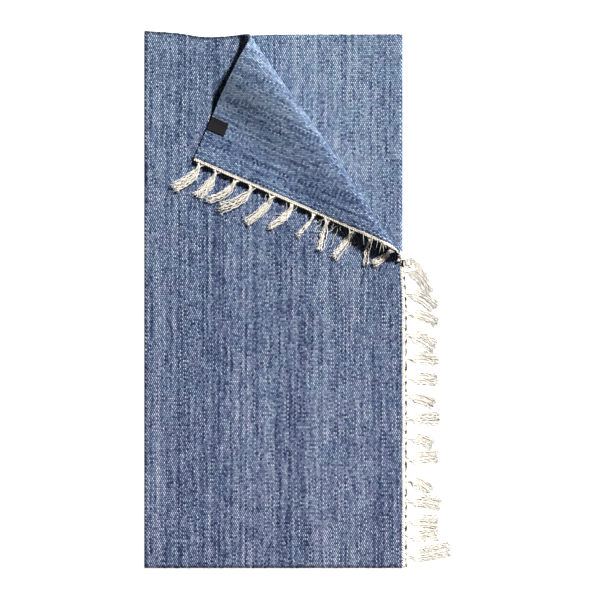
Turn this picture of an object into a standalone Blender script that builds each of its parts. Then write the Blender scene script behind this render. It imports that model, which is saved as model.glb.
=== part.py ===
"""A flat-woven rug with a tasselled fringe, folded in four, one corner of its top layer turned back.

The rug is 80 cm wide and about 150 cm long. It lies with its width along Y. The visible end, with its
fringe, is at +X. Metres, +Z up, origin on the floor under the middle of the folded stack.
"""
import math

import bmesh
import bpy
from mathutils import Vector
from mathutils.geometry import interpolate_bezier

MM = 0.001

# Cloth and folding
RUG_WIDTH = 800 * MM
CLOTH_THICKNESS = 4.5 * MM
LAYER_GAP = 1.0 * MM
FOLDED_LENGTH = 386.6 * MM
VISIBLE_END_INSET = 1.5 * MM
UNDER_END_INSET = 58 * MM
LAYERS = 4
SWELL_HEIGHT = 1.2 * MM
CLEARANCE = 0.3 * MM

# Turned-back corner: a point and the direction of its fold line, and the roll of the cloth along it
FOLD_POINT = Vector((36.2 * MM, 306.3 * MM))
FOLD_DIRECTION = Vector((0.5476, -0.8367)).normalized()
WIDE_ROLL_RADIUS = 19.0 * MM
TIGHT_ROLL_RADIUS = 8.0 * MM
WIDE_ROLL_AT = -120 * MM
TIGHT_ROLL_AT = 150 * MM
LONG_FALL = 117 * MM
SHORT_FALL = 70 * MM
CORNER_SLIDE = 15.0 * MM
SLIDE_LEAD = 30 * MM
SHORT_SLIDE_SHARE = 0.2

# Fringe
UNDER_TASSELS = 28
STRIP_WIDTH = 4.2 * MM
STRIP_HEIGHT = 3.0 * MM
NECK_WIDTH = 5.0 * MM
NECK_LENGTH = 2.0 * MM
ROOT_WIDTH = 6.5 * MM
ROOT_HEIGHT = 3.8 * MM
UNDER_ROOT_HEIGHT = 3.0 * MM
ROOT_START = 4.0 * MM
ROOT_STOP = 8.5 * MM
SPLIT_DISTANCE = 11.0 * MM
SPLIT_WIDTH = 7.8 * MM
YARN_THICKNESS = 1.6 * MM
TOP_YARNS = 5
UNDER_YARNS = 3
TOP_STATIONS = (0.06, 0.2, 0.4, 0.68, 1.0)
UNDER_STATIONS = (0.12, 1.0)
FAN_LANE = 2.3 * MM
YARN_STAGGER = 1.6 * MM
TASSEL_BEND = 1.7
PATH_POINTS = 20
DROP_LENGTH = 26 * MM
SHORT_DROP_LENGTH = 22 * MM
UNDER_REACH = 50 * MM
UNDER_HEADING_SWAY = 6
REST_GAP = 0.5 * MM

# Label, sewn on the underside at the selvage
LABEL_FROM_END = 46 * MM
LABEL_ALONG = 21 * MM
LABEL_ACROSS = 28 * MM
LABEL_THICKNESS = 0.8 * MM
LABEL_GAP = 0.5 * MM

# Stretch of the fringe strip that turns over with the corner
TURN_START = 40 * MM
TURN_STOP = 130 * MM
TURN_STEP = 2.5 * MM
STRIP_STEP = 12 * MM
TURN_GAP = 0.5 * MM
TURN_EASE = 20 * MM

# Grid of the cloth
COLUMN_LENGTH = 42 * MM
ROW_WIDTH = 160 * MM
BEND_STEPS = 6
ROLL_STEP = 3.6 * MM
TIGHT_STEP = 1.9 * MM
TIGHT_REACH = 13.3 * MM
WIDE_REACH_SPARE = 6 * MM
FALL_STEP = 8 * MM
ALONG_ROLL_STEP = 30 * MM
ROLL_FROM = -240 * MM
ROLL_TO = 330 * MM

# Sizes that follow from those above
PITCH = CLOTH_THICKNESS + LAYER_GAP
BEND_RADIUS = PITCH / 2
END_X = FOLDED_LENGTH / 2
BEND_X = END_X - BEND_RADIUS - CLOTH_THICKNESS / 2
BEND_LENGTH = math.pi * BEND_RADIUS
VISIBLE_END_X = END_X - VISIBLE_END_INSET
TOP_RUN = VISIBLE_END_X + BEND_X
MIDDLE_RUN = 2 * BEND_X
UNDER_RUN = BEND_X + END_X - UNDER_END_INSET
RUG_LENGTH = TOP_RUN + 2 * MIDDLE_RUN + UNDER_RUN + 3 * BEND_LENGTH
TOP_Z = CLOTH_THICKNESS / 2 + (LAYERS - 1) * PITCH
FOLD_NORMAL = Vector((-FOLD_DIRECTION.y, FOLD_DIRECTION.x))

# Rise of the far selvage above a straight line, along the folded stack
# x, rise
SELVAGE_RISE = (
    (-193 * MM, 1.8 * MM),
    (-151 * MM, -1.2 * MM),
    (-132 * MM, -3.4 * MM),
    (-112 * MM, -6.6 * MM),
    (-88 * MM, -7.6 * MM),
    (-60 * MM, -6.0 * MM),
    (-35 * MM, -4.2 * MM),
    (20 * MM, -3.0 * MM),
    (120 * MM, -2.7 * MM),
    (330 * MM, -2.2 * MM),
)

# Visible tassels from the near selvage to the turned-back corner
# place across the rug, heading in degrees from +X, reach
TOP_TASSELS = (
    (-382 * MM, 7, 70 * MM),
    (-355 * MM, 5, 52 * MM),
    (-330 * MM, -4, 52 * MM),
    (-300 * MM, -6, 56 * MM),
    (-269 * MM, -22, 44 * MM),
    (-237 * MM, 2, 52 * MM),
    (-205 * MM, -14, 46 * MM),
    (-176 * MM, 0, 54 * MM),
    (-143 * MM, -14, 48 * MM),
    (-115 * MM, -3, 50 * MM),
    (-85 * MM, -4, 52 * MM),
    (-51 * MM, -24, 50 * MM),
    (-18 * MM, -16, 52 * MM),
    (9 * MM, -24, 52 * MM),
    (38 * MM, -38, 50 * MM),
    (60 * MM, -42, 54 * MM),
    (77 * MM, 222, 36 * MM),
    (110 * MM, 258, 40 * MM),
    (140 * MM, 236, 50 * MM),
    (179 * MM, 252, 49 * MM),
    (203 * MM, 234, 42 * MM),
    (237 * MM, 225, 51 * MM),
    (270 * MM, 227, 58 * MM),
    (303 * MM, 214, 60 * MM),
    (329 * MM, 217, 54 * MM),
    (361 * MM, 233, 50 * MM),
    (388 * MM, 223, 55 * MM),
)


def smooth_step(value):
    """Ease from 0 to 1 while value goes from 0 to 1."""
    held = min(max(value, 0.0), 1.0)
    return held * held * (3 - 2 * held)


def selvage_rise(x):
    """Rise of the far selvage at x: a smooth curve through the rows of the table."""
    rows = SELVAGE_RISE
    if x <= rows[0][0]:
        return rows[0][1]
    if x >= rows[-1][0]:
        return rows[-1][1]
    index = max(i for i in range(len(rows) - 1) if rows[i][0] <= x)
    before = rows[max(index - 1, 0)]
    start = rows[index]
    stop = rows[index + 1]
    after = rows[min(index + 2, len(rows) - 1)]
    width = stop[0] - start[0]
    start_slope = (stop[1] - before[1]) / (stop[0] - before[0]) * width
    stop_slope = (after[1] - start[1]) / (after[0] - start[0]) * width
    t = (x - start[0]) / width
    return (
        (2 * t**3 - 3 * t**2 + 1) * start[1]
        + (t**3 - 2 * t**2 + t) * start_slope
        + (3 * t**2 - 2 * t**3) * stop[1]
        + (t**3 - t**2) * stop_slope
    )


def swell(x, y):
    """Height that the top layer gains where the stack lies a little loose."""
    along = math.sin(2 * math.pi * x / (170 * MM) + 0.6)
    across = math.sin(2 * math.pi * y / (260 * MM) + x / (90 * MM))
    return SWELL_HEIGHT * (0.5 + 0.25 * along + 0.25 * across)


def roll_radius(along):
    """Radius of the roll of cloth at a place along the fold line, wide at the far selvage."""
    share = smooth_step((along - WIDE_ROLL_AT) / (TIGHT_ROLL_AT - WIDE_ROLL_AT))
    return WIDE_ROLL_RADIUS + (TIGHT_ROLL_RADIUS - WIDE_ROLL_RADIUS) * share


def turn_corner(x, y):
    """Fold the corner of the top layer back over it: plan place and height above the layer."""
    flat = Vector((x, y)) - FOLD_POINT
    along = flat.dot(FOLD_DIRECTION)
    across = flat.dot(FOLD_NORMAL)
    radius = roll_radius(along)
    wideness = (radius - TIGHT_ROLL_RADIUS) / (WIDE_ROLL_RADIUS - TIGHT_ROLL_RADIUS)
    fall = SHORT_FALL + (LONG_FALL - SHORT_FALL) * wideness
    drop = 2 * radius - PITCH
    slack = (math.pi * drop / 4) ** 2 / fall
    half_turn = math.pi * radius
    half_used = (half_turn + slack) / 2
    gone = across + half_used
    if gone <= -SLIDE_LEAD:
        return x, y, 0.0
    height = 0.0
    if gone >= half_turn:
        share = min((gone - half_turn) / (fall + slack), 1.0)
        height = PITCH + drop * (1 + math.cos(math.pi * share)) / 2
        across = -half_used - fall * share if share < 1 else -across
    elif gone > 0:
        across = -half_used + radius * math.sin(gone / radius)
        height = radius * (1 - math.cos(gone / radius))
    slide_share = SHORT_SLIDE_SHARE + (1 - SHORT_SLIDE_SHARE) * wideness
    slide_length = SLIDE_LEAD + half_turn + slack + fall * slide_share
    along -= CORNER_SLIDE * smooth_step((gone + SLIDE_LEAD) / slide_length)
    place = FOLD_POINT + FOLD_DIRECTION * along + FOLD_NORMAL * across
    return place.x, place.y, height


def fold_path(distance):
    """Place in the zigzag of layers at a distance from the visible end: x, and z of the middle."""
    if distance <= TOP_RUN:
        return VISIBLE_END_X - distance, TOP_Z
    left = distance - TOP_RUN
    x = -BEND_X
    z = TOP_Z
    side = -1
    for run in (MIDDLE_RUN, MIDDLE_RUN, 2 * END_X):
        if left < BEND_LENGTH:
            angle = left / BEND_RADIUS
            return x + side * BEND_RADIUS * math.sin(angle), z - BEND_RADIUS * (1 - math.cos(angle))
        left -= BEND_LENGTH
        z -= PITCH
        if left <= run:
            return x - side * left, z
        left -= run
        x = -x
        side = -side
    return x, z


def cloth_point(distance, across):
    """Middle of the cloth at a distance from its visible end and a place across its width."""
    x, z = fold_path(distance)
    rise_share = across / RUG_WIDTH + 0.5
    y = across + selvage_rise(x) * rise_share
    layer_share = (z - CLOTH_THICKNESS / 2) / (TOP_Z - CLOTH_THICKNESS / 2)
    if distance < TOP_RUN:
        x, y, height = turn_corner(x, y)
        z += height
    return Vector((x, y, z + layer_share * swell(x, y)))


def cloth_frame(distance, across):
    """Point of the cloth, its direction towards the visible end, and its upper side's normal."""
    step = 0.5 * MM
    here = cloth_point(distance, across)
    towards_end = (cloth_point(distance - step, across) - cloth_point(distance + step, across)).normalized()
    sideways = (cloth_point(distance, across + step) - cloth_point(distance, across - step)).normalized()
    return here, towards_end, towards_end.cross(sideways).normalized()


def material(name, color, roughness):
    """A plain Principled material."""
    surface = bpy.data.materials.new(name)
    surface.use_nodes = True
    shader = surface.node_tree.nodes["Principled BSDF"]
    shader.inputs["Base Color"].default_value = (*color, 1.0)
    shader.inputs["Roughness"].default_value = roughness
    surface.diffuse_color = (*color, 1.0)
    return surface


def add_object(name, bm, surface, collection):
    """Make an object of a bmesh."""
    mesh = bpy.data.meshes.new(name)
    bm.to_mesh(mesh)
    bm.free()
    mesh.materials.append(surface)
    thing = bpy.data.objects.new(name, mesh)
    collection.objects.link(thing)
    return thing


def steps_between(start, stop, longest):
    """Places from start to stop, evenly spaced, no further apart than longest."""
    count = max(1, math.ceil((stop - start) / longest - 1e-6))
    return [start + (stop - start) * i / count for i in range(count + 1)]


def cut(bm, faces, point, normal):
    """Cut some flat faces along a straight line."""
    geometry = set(faces)
    for face in faces:
        geometry.update(face.edges)
        geometry.update(face.verts)
    result = bmesh.ops.bisect_plane(bm, geom=list(geometry), plane_co=point, plane_no=normal)
    return [item for item in result["geom"] if isinstance(item, bmesh.types.BMFace)]


def column_places():
    """Distances from the visible end at which the flat cloth is cut across."""
    places = []
    start = 0.0
    for run in (TOP_RUN, MIDDLE_RUN, MIDDLE_RUN, UNDER_RUN):
        places += steps_between(start, start + run, COLUMN_LENGTH)
        start += run
        if start < RUG_LENGTH - MM:
            places += steps_between(start, start + BEND_LENGTH, BEND_LENGTH / BEND_STEPS)[1:-1]
            start += BEND_LENGTH
    return places[1:-1]


def roll_lines():
    """Distances from the fold line at which the corner is cut along it."""
    widest = math.pi * WIDE_ROLL_RADIUS / 2 + WIDE_REACH_SPARE
    lines = steps_between(-widest, -TIGHT_REACH, ROLL_STEP)
    lines += steps_between(-TIGHT_REACH, TIGHT_REACH, TIGHT_STEP)[1:]
    lines += steps_between(TIGHT_REACH, widest, ROLL_STEP)[1:]
    return lines + steps_between(widest, widest + LONG_FALL, FALL_STEP)[1:]


def flat_cloth():
    """The rug laid out flat, distance from the visible end along X and width along Y, cut to a grid."""
    bm = bmesh.new()
    bmesh.ops.create_grid(bm, x_segments=1, y_segments=1, size=0.5)
    bmesh.ops.scale(bm, vec=(RUG_LENGTH, RUG_WIDTH, 1), verts=bm.verts)
    bmesh.ops.translate(bm, vec=(RUG_LENGTH / 2, 0, 0), verts=bm.verts)
    for distance in column_places():
        cut(bm, bm.faces[:], (distance, 0, 0), (1, 0, 0))
    for across in steps_between(-RUG_WIDTH / 2, RUG_WIDTH / 2, ROW_WIDTH)[1:-1]:
        cut(bm, bm.faces[:], (0, across, 0), (0, 1, 0))
    cut_corner(bm)
    return bm


def cut_corner(bm):
    """Cut the part of the top layer that turns over along its fold line, and across it."""
    origin = Vector((VISIBLE_END_X - FOLD_POINT.x, FOLD_POINT.y, 0))
    along = Vector((-FOLD_DIRECTION.x, FOLD_DIRECTION.y, 0))
    across = Vector((-FOLD_NORMAL.x, FOLD_NORMAL.y, 0))
    lines = roll_lines()
    top_layer = [face for face in bm.faces if face.calc_center_median().x < TOP_RUN]
    for line in lines:
        top_layer = cut(bm, top_layer, origin + across * line, across)
    turned = []
    for face in top_layer:
        if lines[0] < (face.calc_center_median() - origin).dot(across) < lines[-1]:
            turned.append(face)
    for place in steps_between(ROLL_FROM, ROLL_TO, ALONG_ROLL_STEP):
        turned = cut(bm, turned, origin + along * place, along)


def make_cloth(surface, collection):
    """The folded cloth: the flat grid carried to its folds and given its thickness."""
    bm = flat_cloth()
    for vert in bm.verts:
        vert.co = cloth_point(vert.co.x, vert.co.y)
    bmesh.ops.triangulate(bm, faces=bm.faces[:], quad_method="BEAUTY", ngon_method="BEAUTY")
    cloth = add_object("rug_cloth", bm, surface, collection)
    shell = cloth.modifiers.new("Thickness", "SOLIDIFY")
    shell.thickness = CLOTH_THICKNESS
    shell.offset = 0.0
    shell.use_even_offset = True
    shell.use_quality_normals = True
    return cloth


def move_ring(face, side, up, centre, width, height):
    """Move the four corners of an extruded face to a rectangle about a new centre."""
    old_centre = face.calc_center_median()
    for vert in face.verts:
        offset = vert.co - old_centre
        side_sign = math.copysign(0.5, offset.dot(side))
        up_sign = math.copysign(0.5, offset.dot(up))
        vert.co = centre + side * width * side_sign + up * height * up_sign


def extrude(bm, face):
    """Extrude one face and return the new one."""
    return bmesh.ops.extrude_discrete_faces(bm, faces=[face])["faces"][0]


def strip_places(tassels):
    """Places across the rug at which a strip is cut, closer together where it turns with the corner."""
    roots = []
    for middle in tassels:
        roots += [middle - NECK_WIDTH / 2, middle + NECK_WIDTH / 2]
    edges = [-RUG_WIDTH / 2 + MM, *roots, RUG_WIDTH / 2 - MM]
    places = list(roots)
    for start, stop in zip(edges[0::2], edges[1::2]):
        in_turn = TURN_START < (start + stop) / 2 < TURN_STOP
        places += steps_between(start, stop, TURN_STEP if in_turn else STRIP_STEP)[1:-1]
    return sorted(places)


def make_strip(bm, end_distance, outwards, tassels):
    """A narrow strip along one end of the cloth. Gives the outer face at each tassel's root."""
    middle_distance = end_distance + outwards * (CLEARANCE + STRIP_WIDTH / 2)
    bmesh.ops.create_cube(bm, size=1.0)
    bmesh.ops.scale(bm, vec=(STRIP_WIDTH, RUG_WIDTH - 2 * MM, STRIP_HEIGHT), verts=bm.verts)
    bmesh.ops.translate(bm, vec=(middle_distance, 0, 0), verts=bm.verts)
    for place in strip_places(tassels):
        cut(bm, bm.faces[:], (0, place, 0), (0, 1, 0))
    outer_distance = middle_distance + outwards * STRIP_WIDTH / 2
    roots = []
    for middle in tassels:
        target = Vector((outer_distance, middle, 0))
        roots.append(min(bm.faces, key=lambda face: (face.calc_center_median() - target).length))
    for vert in bm.verts:
        start_share = smooth_step((vert.co.y - TURN_START) / TURN_EASE)
        stop_share = smooth_step((TURN_STOP - vert.co.y) / TURN_EASE)
        distance = vert.co.x + outwards * TURN_GAP * start_share * stop_share
        point, _, normal = cloth_frame(distance, vert.co.y)
        vert.co = point + normal * vert.co.z
    return roots


def face_outwards(bm):
    """Turn the faces of a closed body outwards."""
    if bm.calc_volume(signed=True) < 0:
        bmesh.ops.reverse_faces(bm, faces=bm.faces[:])


def floor_height(place):
    """Height at which yarn rests on the floor."""
    return YARN_THICKNESS / 2


def top_layer_height(place):
    """Height at which yarn rests on the top layer."""
    surface = TOP_Z + swell(place.x, place.y) + CLOTH_THICKNESS / 2
    return surface + REST_GAP + YARN_THICKNESS / 2


def tassel_path(root, outward, heading, reach, drop_length, rest_height):
    """Points of a tassel's middle line: square out of the edge, then a bend as it falls and lies."""
    chord = math.radians(heading)
    tip = root + Vector((math.cos(chord), math.sin(chord), 0)) * reach
    first = math.atan2(outward.y, outward.x)
    bend = (chord - first + math.pi) % (2 * math.pi) - math.pi
    last = first + bend * TASSEL_BEND
    lead = Vector((math.cos(first), math.sin(first), 0)) * reach * 0.4
    trail = Vector((math.cos(last), math.sin(last), 0)) * reach * 0.35
    path = []
    gone = 0.0
    previous = root
    for point in interpolate_bezier(root, root + lead, tip - trail, tip, PATH_POINTS):
        point = Vector((point.x, point.y, root.z))
        gone += (point - previous).length
        previous = point
        fallen = smooth_step(gone / drop_length)
        path.append(Vector((point.x, point.y, root.z + (rest_height(point) - root.z) * fallen)))
    return path


def path_length(path):
    """Length of a line of points."""
    return sum((path[i + 1] - path[i]).length for i in range(len(path) - 1))


def along_path(path, distance):
    """Point and the directions ahead, aside and up at a distance along a line of points."""
    left = distance
    index = 0
    while index < len(path) - 2 and left > (path[index + 1] - path[index]).length:
        left -= (path[index + 1] - path[index]).length
        index += 1
    ahead = (path[index + 1] - path[index]).normalized()
    aside = Vector((0, 0, 1)).cross(ahead).normalized()
    return path[index] + ahead * left, aside, ahead.cross(aside)


def make_tassel(bm, root_face, path, yarns, root_height, stations):
    """Draw a tassel out of the strip: its gathered root, then loose yarns side by side."""
    face = root_face
    root_rings = (
        (NECK_LENGTH, NECK_WIDTH, STRIP_HEIGHT * 0.8),
        (ROOT_START, ROOT_WIDTH, root_height),
        (ROOT_STOP, ROOT_WIDTH, root_height),
        (SPLIT_DISTANCE, SPLIT_WIDTH, YARN_THICKNESS),
    )
    for distance, width, height in root_rings:
        face = extrude(bm, face)
        centre, aside, up = along_path(path, distance)
        move_ring(face, aside, up, centre, width, height)
    lane = SPLIT_WIDTH / yarns
    centre, aside, up = along_path(path, SPLIT_DISTANCE)
    ends = [face]
    for index in range(1, yarns):
        ends = cut(bm, ends, centre + aside * lane * (index - yarns / 2), aside)
    ends.sort(key=lambda end: (end.calc_center_median() - centre).dot(aside))
    length = path_length(path)
    for index, end in enumerate(ends):
        place = index - (yarns - 1) / 2
        own_length = length - (index * 2 % yarns) * YARN_STAGGER
        for share in stations:
            distance = SPLIT_DISTANCE + (own_length - SPLIT_DISTANCE) * share
            centre, aside, up = along_path(path, distance)
            end = extrude(bm, end)
            spread = place * (lane + (FAN_LANE - lane) * share)
            move_ring(end, aside, up, centre + aside * spread, YARN_THICKNESS * 0.8, YARN_THICKNESS)


def make_top_fringe(surface, collection):
    """The fringe of the visible end. Its tassels lie on the floor, and on the cloth at the corner."""
    bm = bmesh.new()
    roots = make_strip(bm, 0.0, -1, [row[0] for row in TOP_TASSELS])
    for root_face, (place, heading, reach) in zip(roots, TOP_TASSELS):
        root, outward, _ = cloth_frame(-CLEARANCE - STRIP_WIDTH, place)
        on_floor = abs(heading) < 90
        drop_length = DROP_LENGTH if on_floor else SHORT_DROP_LENGTH
        rest_height = floor_height if on_floor else top_layer_height
        path = tassel_path(root, outward, heading, reach, drop_length, rest_height)
        make_tassel(bm, root_face, path, TOP_YARNS, ROOT_HEIGHT, TOP_STATIONS)
    face_outwards(bm)
    return add_object("fringe_visible_end", bm, surface, collection)


def make_under_fringe(surface, collection):
    """The fringe of the under end, flat on the floor below the other layers."""
    bm = bmesh.new()
    spacing = RUG_WIDTH / UNDER_TASSELS
    places = [(index + 0.5) * spacing - RUG_WIDTH / 2 for index in range(UNDER_TASSELS)]
    for index, root_face in enumerate(make_strip(bm, RUG_LENGTH, 1, places)):
        root, inward, _ = cloth_frame(RUG_LENGTH + CLEARANCE + STRIP_WIDTH, places[index])
        heading = UNDER_HEADING_SWAY * math.sin(2.3 * index)
        path = tassel_path(root, -inward, heading, UNDER_REACH, SHORT_DROP_LENGTH, floor_height)
        make_tassel(bm, root_face, path, UNDER_YARNS, UNDER_ROOT_HEIGHT, UNDER_STATIONS)
    face_outwards(bm)
    return add_object("fringe_under_end", bm, surface, collection)


def make_label(surface, collection):
    """The small woven label, on the side of the cloth that the turned corner shows."""
    bm = bmesh.new()
    bmesh.ops.create_grid(bm, x_segments=3, y_segments=4, size=0.5)
    for vert in bm.verts:
        distance = LABEL_FROM_END + (vert.co.x + 0.5) * LABEL_ALONG
        across = RUG_WIDTH / 2 - (0.5 - vert.co.y) * LABEL_ACROSS
        point, _, normal = cloth_frame(distance, across)
        lift = CLOTH_THICKNESS / 2 + LABEL_GAP + LABEL_THICKNESS / 2
        vert.co = point - normal * lift
    label = add_object("label", bm, surface, collection)
    shell = label.modifiers.new("Thickness", "SOLIDIFY")
    shell.thickness = LABEL_THICKNESS
    shell.offset = 0.0
    return label


def main():
    """Build the folded rug."""
    for thing in list(bpy.data.objects):
        bpy.data.objects.remove(thing)
    collection = bpy.data.collections.new("folded_rug")
    bpy.context.scene.collection.children.link(collection)
    blue = material("blue_weave", (0.16, 0.20, 0.32), 0.95)
    ivory = material("ivory_cotton", (0.80, 0.76, 0.66), 0.9)
    dark = material("dark_label", (0.03, 0.03, 0.04), 0.8)
    make_cloth(blue, collection)
    make_top_fringe(ivory, collection)
    make_under_fringe(ivory, collection)
    make_label(dark, collection)


main()
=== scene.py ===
"""The looks of a flat-woven blue rug with ivory fringe, folded in four, one corner turned back.

The rug's cloth is woven by its weft: heathered blue yarn, beaten so close that it hides the
warp. The warp's ends are plaited into a narrow edge, and hang from it in tassels. Metres, +Z up,
floor at zero.
"""

import math
import random
from typing import Callable, NamedTuple

import bmesh
import bpy
from bpy.props import FloatProperty, FloatVectorProperty, IntProperty, PointerProperty
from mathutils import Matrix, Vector
from mathutils.geometry import interpolate_bezier


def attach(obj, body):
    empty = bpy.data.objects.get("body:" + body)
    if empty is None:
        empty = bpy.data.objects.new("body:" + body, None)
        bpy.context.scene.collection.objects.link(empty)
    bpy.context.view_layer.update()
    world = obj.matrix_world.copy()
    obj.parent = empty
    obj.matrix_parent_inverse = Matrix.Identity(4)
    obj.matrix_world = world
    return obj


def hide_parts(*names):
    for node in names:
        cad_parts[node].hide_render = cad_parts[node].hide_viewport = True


bl_info = {
    "name": "Folded Flat-Woven Rug",
    "version": (1, 0, 0),
    "blender": (4, 5, 0),
    "location": "3D View > Sidebar > Rug",
    "description": "Dresses a folded flat rug with its weave, plaited edge, tassels and label",
    "category": "Add Mesh",
}

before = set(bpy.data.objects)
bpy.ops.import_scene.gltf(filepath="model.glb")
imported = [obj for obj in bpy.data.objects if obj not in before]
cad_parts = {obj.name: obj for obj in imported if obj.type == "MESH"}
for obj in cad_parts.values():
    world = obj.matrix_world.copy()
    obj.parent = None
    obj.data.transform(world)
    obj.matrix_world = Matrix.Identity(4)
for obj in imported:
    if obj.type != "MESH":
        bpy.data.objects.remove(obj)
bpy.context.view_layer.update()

MM = 0.001

# Cloth and its folding
RUG_WIDTH = 800 * MM
CLOTH_THICKNESS = 4.5 * MM
LAYER_GAP = 1.0 * MM
FOLDED_LENGTH = 386.6 * MM
VISIBLE_END_INSET = 1.5 * MM
UNDER_END_INSET = 58 * MM
LAYERS = 4
SWELL_HEIGHT = 1.2 * MM
SWELL_LENGTH = 170 * MM
SWELL_WIDTH = 260 * MM
SWELL_SKEW = 90 * MM
CLEARANCE = 0.3 * MM

# Turned-back corner: a point and the direction of its fold line, and the roll of the cloth along it
FOLD_POINT = Vector((36.2 * MM, 306.3 * MM))
FOLD_DIRECTION = Vector((0.5476, -0.8367)).normalized()
WIDE_ROLL_RADIUS = 19.0 * MM
TIGHT_ROLL_RADIUS = 8.0 * MM
WIDE_ROLL_AT = -120 * MM
TIGHT_ROLL_AT = 150 * MM
LONG_FALL = 117 * MM
SHORT_FALL = 70 * MM
CORNER_SLIDE = 15.0 * MM
SLIDE_LEAD = 30 * MM
SHORT_SLIDE_SHARE = 0.2

# Mesh of the cloth, finest where it shows most
COLUMN_STEP = 2.2 * MM
HIDDEN_COLUMN_STEP = 12 * MM
BEND_STEPS = 10
ROW_STEP = 5 * MM
PLAIN_ROW_STEP = 20 * MM
EDGE_ROW = 1.5 * MM
ROUNDED_EDGE = 1.9 * MM

# Weave: the beads of weft, and the marks along its yarns
ROW_WANDER = 0.65
WANDERS_PER_METRE = 30.0
BEAD_SHARPNESS = 3.0
NEXT_ROW_HEIGHT = 0.75
YARN_LOTS = 900.0
LONG_STREAKS_PER_METRE = 9.0
STREAKS_PER_METRE = 38.0
FLECKS_PER_METRE = 230.0
BANDS_PER_METRE = 14.0
BAND_DRIFTS_PER_METRE = 0.35
FIBRES_PER_METRE = (3000.0, 900.0)
FIBRE_RELIEF = 0.12
BEAD_RELIEF = 1.0 * MM

# Dye: the cloth's reverse is a little bluer than its face, and so is its far side. Painted light:
# the reverse is painted paler away from its visible end, and the whole cloth lighter towards its
# far side
REVERSE_BLUER = 0.07
REVERSE_PAINTED_LIGHT = 0.13
PAINTED_LIGHT_FROM = 60 * MM
PAINTED_LIGHT_RUN = 90 * MM
FAR_SIDE_BLUER = 0.16
FAR_SIDE_PAINTED_LIGHT = 0.12
DYE_PATCHES_PER_METRE = 28.0
GREEN_SHARE = 0.35

# Selvages: painted shade along the rounded rim, broken by lighter turns of weft, and small steps
# where each turn of weft pulls in a little more or less
FACE_EDGE_SHADE = 0.86
RIM_WIDTH = 5.5 * MM
RIM_FADE = 0.6
RIM_SHADE_DEPTH = 0.75
RIM_BREAKS = 1.1
TURNS_PER_METRE = 170.0
SLOW_WANDER = 0.22 * MM
QUICK_WANDER = 0.28 * MM

# Plaited edge
STRIP_WIDTH = 4.2 * MM
PLAIT_RADIUS = 1.2 * MM
PLAIT_SWAY = 1.9 * MM
PLAIT_LIFT = 1.0 * MM
PLAIT_TURN = 11.5 * MM
PLAIT_WANDER = 0.25 * MM
PLAIT_WANDER_LENGTH = 17 * MM
PLAIT_UNEVENNESS = 0.24
PLAIT_STEP = 1.2 * MM

# Painted shadow: a near-black thread along the plait, standing in for the shadow between the tassel
# roots
SHADOW_THREAD_STEP = 1.5 * MM
SHADOW_THREAD_OUTSIDE = 1.3 * MM
SHADOW_THREAD_TURN = 9.5 * MM
SHADOW_THREAD_LIFT = 1.1 * MM
SHADOW_THREAD_SINK = 0.4 * MM
THIN_SHADOW_THREAD = 0.5 * MM
SHADOW_THREAD_SWELL = 1.1 * MM
TASSEL_COVER = 3 * MM
COVER_FADE = 4 * MM

# Tassels
UNDER_REACH = 50 * MM
UNDER_TASSELS = 28
UNDER_YARNS = 6
TASSEL_BEND = 1.7
TASSEL_LEAD = 0.4
TASSEL_TRAIL = 0.35
TASSEL_POINTS = 32
TASSEL_REST = 1.3 * MM
NECK_SPREAD = 16 * MM
NECK_GATHER = 8 * MM
NECK_RADIUS = 3.1 * MM

# Yarns of a tassel
YARN_RADII = (0.62 * MM, 0.86 * MM)
YARN_LEVELS = (-0.5 * MM, 1.6 * MM, 0.5 * MM)
YARN_TAPER = 0.2
CUT_UNEVENNESS = 7 * MM
ROOT_INSIDE = 1.5 * MM
LOOSE_FROM = 5 * MM
LOOSE_RUN = 20 * MM
LANE_SPREAD = 1.0 * MM
END_SPREAD = 1.8 * MM
WAVES = (0.35 * MM, 1.0 * MM)
WAVE_LENGTHS = (7 * MM, 12 * MM)
YARN_TWIST = 5 * MM
# Painted shade: yarn is darker where it lies on the floor
FLOOR_PAINTED_SHADE = 0.14
PAINTED_SHADE_UP_TO = 12 * MM
PAINTED_SHADE_FADE = 8 * MM

# Frayed ends of the yarns
FRAYS_PER_YARN = 4
FRAY_LENGTHS = (2 * MM, 6 * MM)
FRAY_RADII = (0.42 * MM, 0.36 * MM, 0.3 * MM, 0.18 * MM)
FRAY_ROOT = 2 * MM
FRAY_TURN = 0.4
FRAY_LIFT = 0.3
FRAY_BEND = 0.5
FRAY_CLEARANCE = 0.5 * MM

# Single threads that have worked loose, more of them near the turned-back corner's narrow roll
STRAYS = 12
STRAY_FROM = 70 * MM
STRAY_TO = 330 * MM
STRAY_MOSTLY = 90 * MM
STRAY_TURN = 60
STRAY_REACHES = (14 * MM, 44 * MM)
STRAY_DROP = 20 * MM
STRAY_SWAY = 0.9 * MM
STRAY_LIFT = 0.6 * MM
STRAY_RADIUS = 0.38 * MM

# Short hairs that stand out of the plait
WISPS = 16
WISP_PLACES = (72 * MM, 132 * MM)
WISP_LENGTHS = (8 * MM, 22 * MM)
WISP_TURNS = (-30, 75)
WISP_BEND = 0.25
WISP_STEPS = 8
WISP_LIFT = 1.6 * MM
WISP_ARCH = 2.6 * MM
WISP_RADIUS = 0.36 * MM

# Label
LABEL_FROM_END = 46 * MM
LABEL_ALONG = 21 * MM
LABEL_ACROSS = 28 * MM
LABEL_THICKNESS = 0.8 * MM
LABEL_GAP = 0.5 * MM
LABEL_RIB = 0.7 * MM
LABEL_THREAD = 0.5 * MM
STITCH_INSET = 1.4 * MM
STITCH_PITCH = 2.6 * MM
STITCH_SHARE = 0.76
STITCH_ARCH = 0.28 * MM
STITCH_SINK = 0.1 * MM
STITCH_RADIUS = 0.2 * MM

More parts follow.
